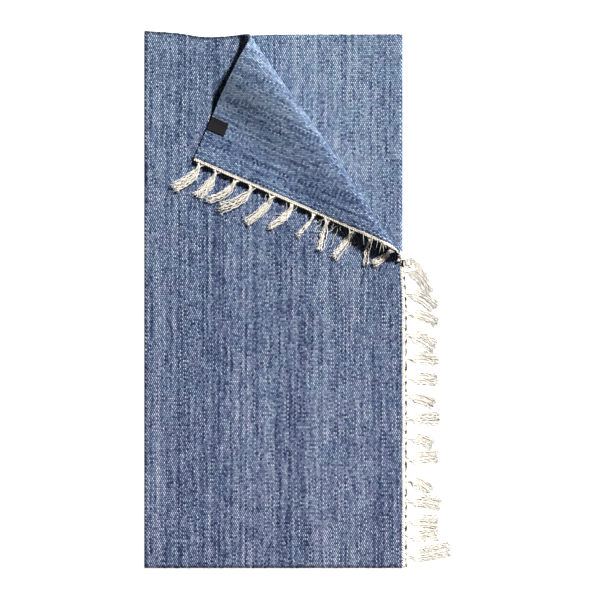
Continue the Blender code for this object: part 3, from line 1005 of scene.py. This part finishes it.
def make_tassel(yarns, fibres, root, outward, heading, reach, yarn_count, ground):
    """One tassel of loose yarns, in three levels, with their frayed ends."""
    path = tassel_path(root, outward, heading, reach, ground.drop_length, ground.height)
    length = path_length(path)
    count = round(yarn_count * ground.fullness)
    width = count * ground.lane
    for index in range(count):
        place = (index + 0.5) / count - 0.5
        level = YARN_LEVELS[index % 3] * ground.level_share
        own_length = length - random.uniform(0, CUT_UNEVENNESS)
        yarn = make_yarn(yarns, path, ground, place, level, own_length, width)
        if fibres:
            make_fray(fibres, yarn, ground.height)


def make_strays(yarns):
    """Single threads that have worked loose along the turned-back edge."""
    for _ in range(STRAYS):
        place = random.triangular(STRAY_FROM, STRAY_TO, STRAY_MOSTLY)
        root, outward, _ = cloth_frame(-ROOT_OUT, place)
        turn = random.uniform(-STRAY_TURN, STRAY_TURN)
        heading = math.degrees(math.atan2(outward.y, outward.x)) + turn
        reach = random.uniform(*STRAY_REACHES)
        path = tassel_path(root, outward, heading, reach, STRAY_DROP, top_layer_height)
        start = random.random()
        points = []
        for index, point in enumerate(path[::2]):
            sway = STRAY_SWAY * math.sin(index * 0.9 + start * 6)
            points.append(point + Vector((sway, -sway, STRAY_LIFT)))
        yarns.add(points, [STRAY_RADIUS] * len(points), 5)


def make_wisps(yarns):
    """Short hairs of cotton that stand out of the plait where the corner turns over."""
    for _ in range(WISPS):
        place = random.uniform(*WISP_PLACES)
        root, outward, _ = cloth_frame(-PLAIT_OUT, place)
        beside, _, _ = cloth_frame(-PLAIT_OUT, place - 4 * MM)
        turn = math.radians(random.uniform(*WISP_TURNS))
        direction = (beside - root).normalized() * math.cos(turn) + outward * math.sin(turn)
        length = random.uniform(*WISP_LENGTHS)
        bend = outward * random.gauss(0, WISP_BEND) * length
        points = []
        for step in range(WISP_STEPS + 1):
            share = step / WISP_STEPS
            lift = WISP_LIFT + WISP_ARCH * math.sin(math.pi * share)
            point = root + direction * length * share + bend * share * share
            points.append(point + Vector((0, 0, lift)))
        yarns.add(points, [WISP_RADIUS] * len(points), 5)


def shadow_thread_radius(place):
    """Radius of the thread that stands in for shadow: thick between tassels, where the shadow
    shows, thin where it dives.
    """
    gap = min(abs(place - row[0]) for row in TOP_TASSELS)
    clear = smooth_step((gap - TASSEL_COVER) / COVER_FADE)
    wave = math.sin(2 * math.pi * place / (17 * MM) + 2.2 * math.sin(place / (29 * MM)))
    return THIN_SHADOW_THREAD + SHADOW_THREAD_SWELL * clear * smooth_step(0.5 + 0.9 * wave)


def make_painted_shadow_thread(material):
    """A near-black thread twined along the outer side of the plait, over and under its yarns:
    painted shadow between the tassel roots.
    """
    tubes = Tubes()
    half = RUG_WIDTH / 2 - 2 * MM
    count = int(2 * half / SHADOW_THREAD_STEP)
    path = []
    radii = []
    for index in range(count + 1):
        place = -half + 2 * half * index / count
        turn = 2 * math.pi * place / SHADOW_THREAD_TURN + 1.3 * math.sin(place / (31 * MM))
        point, _, normal = cloth_frame(-SHADOW_THREAD_OUT, place)
        path.append(point + normal * (SHADOW_THREAD_LIFT * math.sin(turn) - SHADOW_THREAD_SINK))
        radii.append(shadow_thread_radius(place))
    tubes.add(path, radii, 6)
    return tubes.finish("painted_shadow_thread", material)


def make_top_fringe(material, fibre_material):
    """The plaited edge and the tassels of the visible end."""
    plait = Tubes()
    for path in plait_paths(0.0, -1, PLAIT_STEP):
        plait.add(path, plait_radii(len(path)), 6)
    yarns = Tubes()
    fibres = Tubes()
    for place, heading, reach, yarn_count in TOP_TASSELS:
        root, outward, _ = cloth_frame(-ROOT_OUT, place)
        ground = FLOOR if abs(heading) < 90 else TOP_LAYER
        make_tassel(yarns, fibres, root, outward, heading, reach, yarn_count, ground)
    make_strays(yarns)
    make_wisps(yarns)
    return (
        plait.finish("plait_visible_end", material),
        yarns.finish("tassels_visible_end", material),
        fibres.finish("frayed_ends", fibre_material),
    )


def make_under_fringe(material):
    """The plaited edge and the tassels of the under end, flat on the floor below the stack."""
    plait = Tubes()
    for path in plait_paths(RUG_LENGTH, 1, 2 * PLAIT_STEP):
        plait.add(path, [PLAIT_RADIUS] * len(path), 5)
    tassels = Tubes()
    spacing = RUG_WIDTH / UNDER_TASSELS
    for index in range(UNDER_TASSELS):
        place = (index + 0.5) * spacing - RUG_WIDTH / 2
        root, inward, _ = cloth_frame(RUG_LENGTH + ROOT_OUT, place)
        heading = 6 * math.sin(2.3 * index)
        make_tassel(tassels, None, root, -inward, heading, UNDER_REACH, UNDER_YARNS, UNDER_STACK)
    return plait.finish("plait_under_end", material), tassels.finish("tassels_under_end", material)


def label_point(along_share, across_share, lift):
    """A point over the label's place on the turned-back corner."""
    distance = LABEL_FROM_END + along_share * LABEL_ALONG
    across = RUG_WIDTH / 2 - (1 - across_share) * LABEL_ACROSS
    point, _, normal = cloth_frame(distance, across)
    return point - normal * (CLOTH_THICKNESS / 2 + LABEL_GAP + lift)


def make_label(material):
    """The bare label, a small tape with rounded edges."""
    bm = bmesh.new()
    bmesh.ops.create_grid(bm, x_segments=14, y_segments=18, size=0.5)
    layer = bm.loops.layers.uv.new("cloth_place")
    for vert in bm.verts:
        for loop in vert.link_loops:
            loop[layer].uv = (
                (vert.co.x + 0.5) * LABEL_ALONG,
                (vert.co.y + 0.5) * LABEL_ACROSS,
            )
        vert.co = label_point(vert.co.x + 0.5, vert.co.y + 0.5, LABEL_THICKNESS / 2)
    mesh = bpy.data.meshes.new("label_tape")
    bm.to_mesh(mesh)
    bm.free()
    mesh.shade_smooth()
    mesh.materials.append(material)
    label = link_object("label_tape", mesh)
    shell = label.modifiers.new("Thickness", "SOLIDIFY")
    shell.thickness = LABEL_THICKNESS
    shell.offset = 0.0
    rim = label.modifiers.new("Rounded_edges", "BEVEL")
    rim.width = 0.25 * MM
    rim.segments = 2
    rim.limit_method = "ANGLE"
    rim.angle_limit = math.radians(50)
    return label


def make_label_stitches(material):
    """A line of small stitches round the label, just inside its edge."""
    tubes = Tubes()
    inset_along = STITCH_INSET / LABEL_ALONG
    inset_across = STITCH_INSET / LABEL_ACROSS
    corners = (
        (inset_along, inset_across),
        (1 - inset_along, inset_across),
        (1 - inset_along, 1 - inset_across),
        (inset_along, 1 - inset_across),
    )
    last = 5
    for index, start in enumerate(corners):
        stop = corners[(index + 1) % 4]
        side = (label_point(*stop, 0) - label_point(*start, 0)).length
        count = round(side / STITCH_PITCH)
        for stitch in range(count):
            points = []
            for step in range(last + 1):
                share = (stitch + (1 - STITCH_SHARE) / 2 + STITCH_SHARE * step / last) / count
                arch = math.sin(math.pi * step / last) * STITCH_ARCH
                place = [start[axis] + (stop[axis] - start[axis]) * share for axis in (0, 1)]
                points.append(label_point(*place, LABEL_THICKNESS + arch - STITCH_SINK))
            tubes.add(points, [STITCH_RADIUS] * len(points), 6)
    return tubes.finish("label_stitches", material)


def make_floor(settings):
    """A plain pale floor, bright enough to show no shadow."""
    mesh = bpy.data.meshes.new("floor")
    bm = bmesh.new()
    bmesh.ops.create_grid(bm, x_segments=1, y_segments=1, size=FLOOR_SIZE)
    bm.to_mesh(mesh)
    bm.free()
    look = Nodes("pale_floor")
    look.shader.inputs["Base Color"].default_value = (*settings.floor_color, 1.0)
    look.shader.inputs["Roughness"].default_value = 0.8
    look.shader.inputs["Emission Color"].default_value = (1.0, 1.0, 1.0, 1.0)
    look.shader.inputs["Emission Strength"].default_value = settings.floor_glow
    mesh.materials.append(look.material)
    floor = link_object("floor", mesh)
    floor.location.z = -FLOOR_SINK


def make_key_light(settings):
    """The main light: a far one at an azimuth, from +X towards +Y, and an elevation."""
    light = bpy.data.lights.new("key_light", "SUN")
    light.energy = settings.key_strength
    light.angle = math.radians(KEY_SOFTNESS)
    light.color = KEY_COLOR
    lamp = bpy.data.objects.new("key_light", light)
    bpy.context.scene.collection.objects.link(lamp)
    azimuth = math.radians(settings.key_azimuth)
    elevation = math.radians(settings.key_elevation)
    level = math.cos(elevation)
    source = Vector((math.cos(azimuth) * level, math.sin(azimuth) * level, math.sin(elevation)))
    lamp.rotation_mode = "QUATERNION"
    lamp.rotation_quaternion = source.to_track_quat("Z", "Y")
    lamp.location = source * 3


def make_fill_light(settings):
    """A weak light from all round."""
    world = bpy.data.worlds.new("soft_fill")
    world.use_nodes = True
    background = world.node_tree.nodes["Background"]
    background.inputs["Color"].default_value = FILL_COLOR
    background.inputs["Strength"].default_value = settings.fill_strength
    bpy.context.scene.world = world


def make_camera(settings):
    """A camera straight above, with a lens that shows the view's width at the rug's top."""
    data = bpy.data.cameras.new("camera")
    data.sensor_width = SENSOR_WIDTH
    data.lens = SENSOR_WIDTH * settings.camera_height / VIEW_WIDTH
    camera = bpy.data.objects.new("camera", data)
    camera.location = (VIEW_CENTRE.x, VIEW_CENTRE.y, TOP_SURFACE + settings.camera_height)
    bpy.context.scene.collection.objects.link(camera)
    bpy.context.scene.camera = camera


class RugClothSettings(bpy.types.PropertyGroup):
    """Sizes and colours of the weave."""

    warp_pitch: FloatProperty(
        name="Warp pitch", description="Distance between warp yarns",
        default=3.0 * MM, unit="LENGTH",
    )
    weft_pitch: FloatProperty(
        name="Weft pitch", description="Distance between rows of weft",
        default=1.5 * MM, unit="LENGTH",
    )
    dark_yarn: FloatVectorProperty(
        name="Dark yarn", description="Darkest yarn",
        default=(0.010, 0.023, 0.085), subtype="COLOR", min=0, max=1,
    )
    navy_yarn: FloatVectorProperty(
        name="Navy yarn", description="Dark yarn",
        default=(0.075, 0.121, 0.283), subtype="COLOR", min=0, max=1,
    )
    blue_yarn: FloatVectorProperty(
        name="Blue yarn", description="Main yarn",
        default=(0.224, 0.303, 0.502), subtype="COLOR", min=0, max=1,
    )
    grey_yarn: FloatVectorProperty(
        name="Grey yarn", description="Greyer yarn",
        default=(0.43, 0.535, 0.785), subtype="COLOR", min=0, max=1,
    )
    light_yarn: FloatVectorProperty(
        name="Light yarn", description="Lightest yarn",
        default=(0.73, 0.82, 1.0), subtype="COLOR", min=0, max=1,
    )
    face_lightness: FloatProperty(
        name="Face", description="Lightness of the cloth's face over its reverse", default=0.03,
    )
    yarn_contrast: FloatProperty(
        name="Yarns", description="Contrast between yarns", default=0.33,
    )
    streak_contrast: FloatProperty(
        name="Streaks", description="Contrast of streaks in the weft", default=0.38,
    )
    fleck_contrast: FloatProperty(
        name="Flecks", description="Contrast of short flecks in the weft", default=0.5,
    )
    band_contrast: FloatProperty(
        name="Bands", description="Contrast of irregular bands of weft", default=0.22,
    )
    dye_variation: FloatProperty(
        name="Dye", description="Unevenness of the dye's hue", default=0.12,
    )
    gap_shade: FloatProperty(
        name="Gap shade", description="Share of light left between beads", default=0.05,
    )


class RugFringeSettings(bpy.types.PropertyGroup):
    """Colour of the fringe."""

    yarn_color: FloatVectorProperty(
        name="Yarn", description="Undyed warp yarn",
        default=(0.85, 0.80, 0.72), subtype="COLOR", min=0, max=1,
    )
    fibre_color: FloatVectorProperty(
        name="Fibres", description="Frayed ends of the yarn",
        default=(0.92, 0.90, 0.86), subtype="COLOR", min=0, max=1,
    )
    # painted shadow: colour of the thread that stands in for the shadow beside the plait
    thread_and_shadow_color: FloatVectorProperty(
        name="Edge thread", description="Thread along the plait",
        default=(0.006, 0.007, 0.010), subtype="COLOR", min=0, max=1,
    )
    seed: IntProperty(name="Seed", description="Start of the yarns' random lie", default=7)


class RugLabelSettings(bpy.types.PropertyGroup):
    """Colours of the label."""

    tape_color: FloatVectorProperty(
        name="Tape", description="Label's tape",
        default=(0.011, 0.010, 0.012), subtype="COLOR", min=0, max=1,
    )
    thread_and_shadow_color: FloatVectorProperty(
        name="Thread", description="Label's sewing thread",
        default=(0.05, 0.05, 0.06), subtype="COLOR", min=0, max=1,
    )


class RugStageSettings(bpy.types.PropertyGroup):
    """Floor, light and camera."""

    floor_color: FloatVectorProperty(
        name="Floor", description="Floor's colour",
        default=(0.5, 0.5, 0.5), subtype="COLOR", min=0, max=1,
    )
    floor_glow: FloatProperty(
        name="Floor glow", description="Light from the floor itself", default=0.98,
    )
    key_strength: FloatProperty(
        name="Key light", description="Strength of the main light", default=7.9,
    )
    key_azimuth: FloatProperty(
        name="Key azimuth", description="Direction of the main light from +X, in degrees",
        default=51.0,
    )
    key_elevation: FloatProperty(
        name="Key elevation", description="Height of the main light, in degrees",
        default=32.0,
    )
    fill_strength: FloatProperty(
        name="Fill light", description="Strength of the light from all round", default=0.06,
    )
    camera_height: FloatProperty(
        name="Camera height", description="Camera's height over the rug",
        default=3.0, unit="LENGTH",
    )


class RUG_OT_weave_cloth(bpy.types.Operator):
    """Weave the folded cloth"""

    bl_idname = "rug.weave_cloth"
    bl_label = "Weave Cloth"

    def execute(self, context):
        cloth = make_cloth(context.scene.rug_cloth)
        place_piece(cloth, "weave", "rug_cloth")
        return {"FINISHED"}


class RUG_OT_tie_fringe(bpy.types.Operator):
    """Plait the edges and tie the tassels of both ends"""

    bl_idname = "rug.tie_fringe"
    bl_label = "Tie Fringe"

    def execute(self, context):
        settings = context.scene.rug_fringe
        random.seed(settings.seed)
        material = yarn_material("ivory_yarn", settings.yarn_color, 0.9, 0.3)
        fibre_material = yarn_material("frayed_cotton", settings.fibre_color, 0.95, 0.3)
        # painted shadow: a near-black thread beside the plait stands in for the shadow between the
        # tassel roots
        thread = make_painted_shadow_thread(yarn_material("painted_shadow_material", settings.thread_and_shadow_color, 0.7, 0.0))
        place_piece(thread, "weave")
        for piece in make_top_fringe(material, fibre_material):
            place_piece(piece, "fringe", "fringe_visible_end")
        for piece in make_under_fringe(material):
            place_piece(piece, "fringe", "fringe_under_end")
        return {"FINISHED"}


class RUG_OT_sew_label(bpy.types.Operator):
    """Sew the label on the turned-back corner"""

    bl_idname = "rug.sew_label"
    bl_label = "Sew Label"

    def execute(self, context):
        settings = context.scene.rug_label
        label = make_label(label_material(settings.tape_color))
        place_piece(label, "label", "label")
        thread = yarn_material("label_thread", settings.thread_and_shadow_color, 0.6, 0.0)
        stitches = make_label_stitches(thread)
        place_piece(stitches, "label")
        return {"FINISHED"}


class RUG_OT_set_stage(bpy.types.Operator):
    """Set the floor, the lights and the camera"""

    bl_idname = "rug.set_stage"
    bl_label = "Set Stage"

    def execute(self, context):
        settings = context.scene.rug_stage
        make_floor(settings)
        make_key_light(settings)
        make_fill_light(settings)
        context.scene.view_settings.view_transform = "Standard"
        make_camera(settings)
        return {"FINISHED"}


class RUG_PT_panel(bpy.types.Panel):
    """The rug's settings and steps"""

    bl_idname = "RUG_PT_panel"
    bl_label = "Rug"
    bl_space_type = "VIEW_3D"
    bl_region_type = "UI"
    bl_category = "Rug"

    def draw(self, context):
        layout = self.layout
        for group_name, step in STEPS:
            box = layout.box()
            group = getattr(context.scene, group_name)
            for key in group.__annotations__:
                box.prop(group, key)
            box.operator(step)


STEPS = (
    ("rug_cloth", "rug.weave_cloth"),
    ("rug_fringe", "rug.tie_fringe"),
    ("rug_label", "rug.sew_label"),
    ("rug_stage", "rug.set_stage"),
)
GROUPS = {
    "rug_cloth": RugClothSettings,
    "rug_fringe": RugFringeSettings,
    "rug_label": RugLabelSettings,
    "rug_stage": RugStageSettings,
}
OPERATORS = (RUG_OT_weave_cloth, RUG_OT_tie_fringe, RUG_OT_sew_label, RUG_OT_set_stage)
CLASSES = (*GROUPS.values(), *OPERATORS, RUG_PT_panel)


def register():
    """Register the classes and their settings."""
    for item in CLASSES:
        bpy.utils.register_class(item)
    for name, group in GROUPS.items():
        setattr(bpy.types.Scene, name, PointerProperty(type=group))


def unregister():
    """Undo register."""
    for name in GROUPS:
        delattr(bpy.types.Scene, name)
    for item in reversed(CLASSES):
        bpy.utils.unregister_class(item)


def main():
    """Make the rug and its stage."""
    register()
    bpy.ops.rug.weave_cloth()
    bpy.ops.rug.tie_fringe()
    bpy.ops.rug.sew_label()
    bpy.ops.rug.set_stage()


if __name__ == "__main__":
    main()
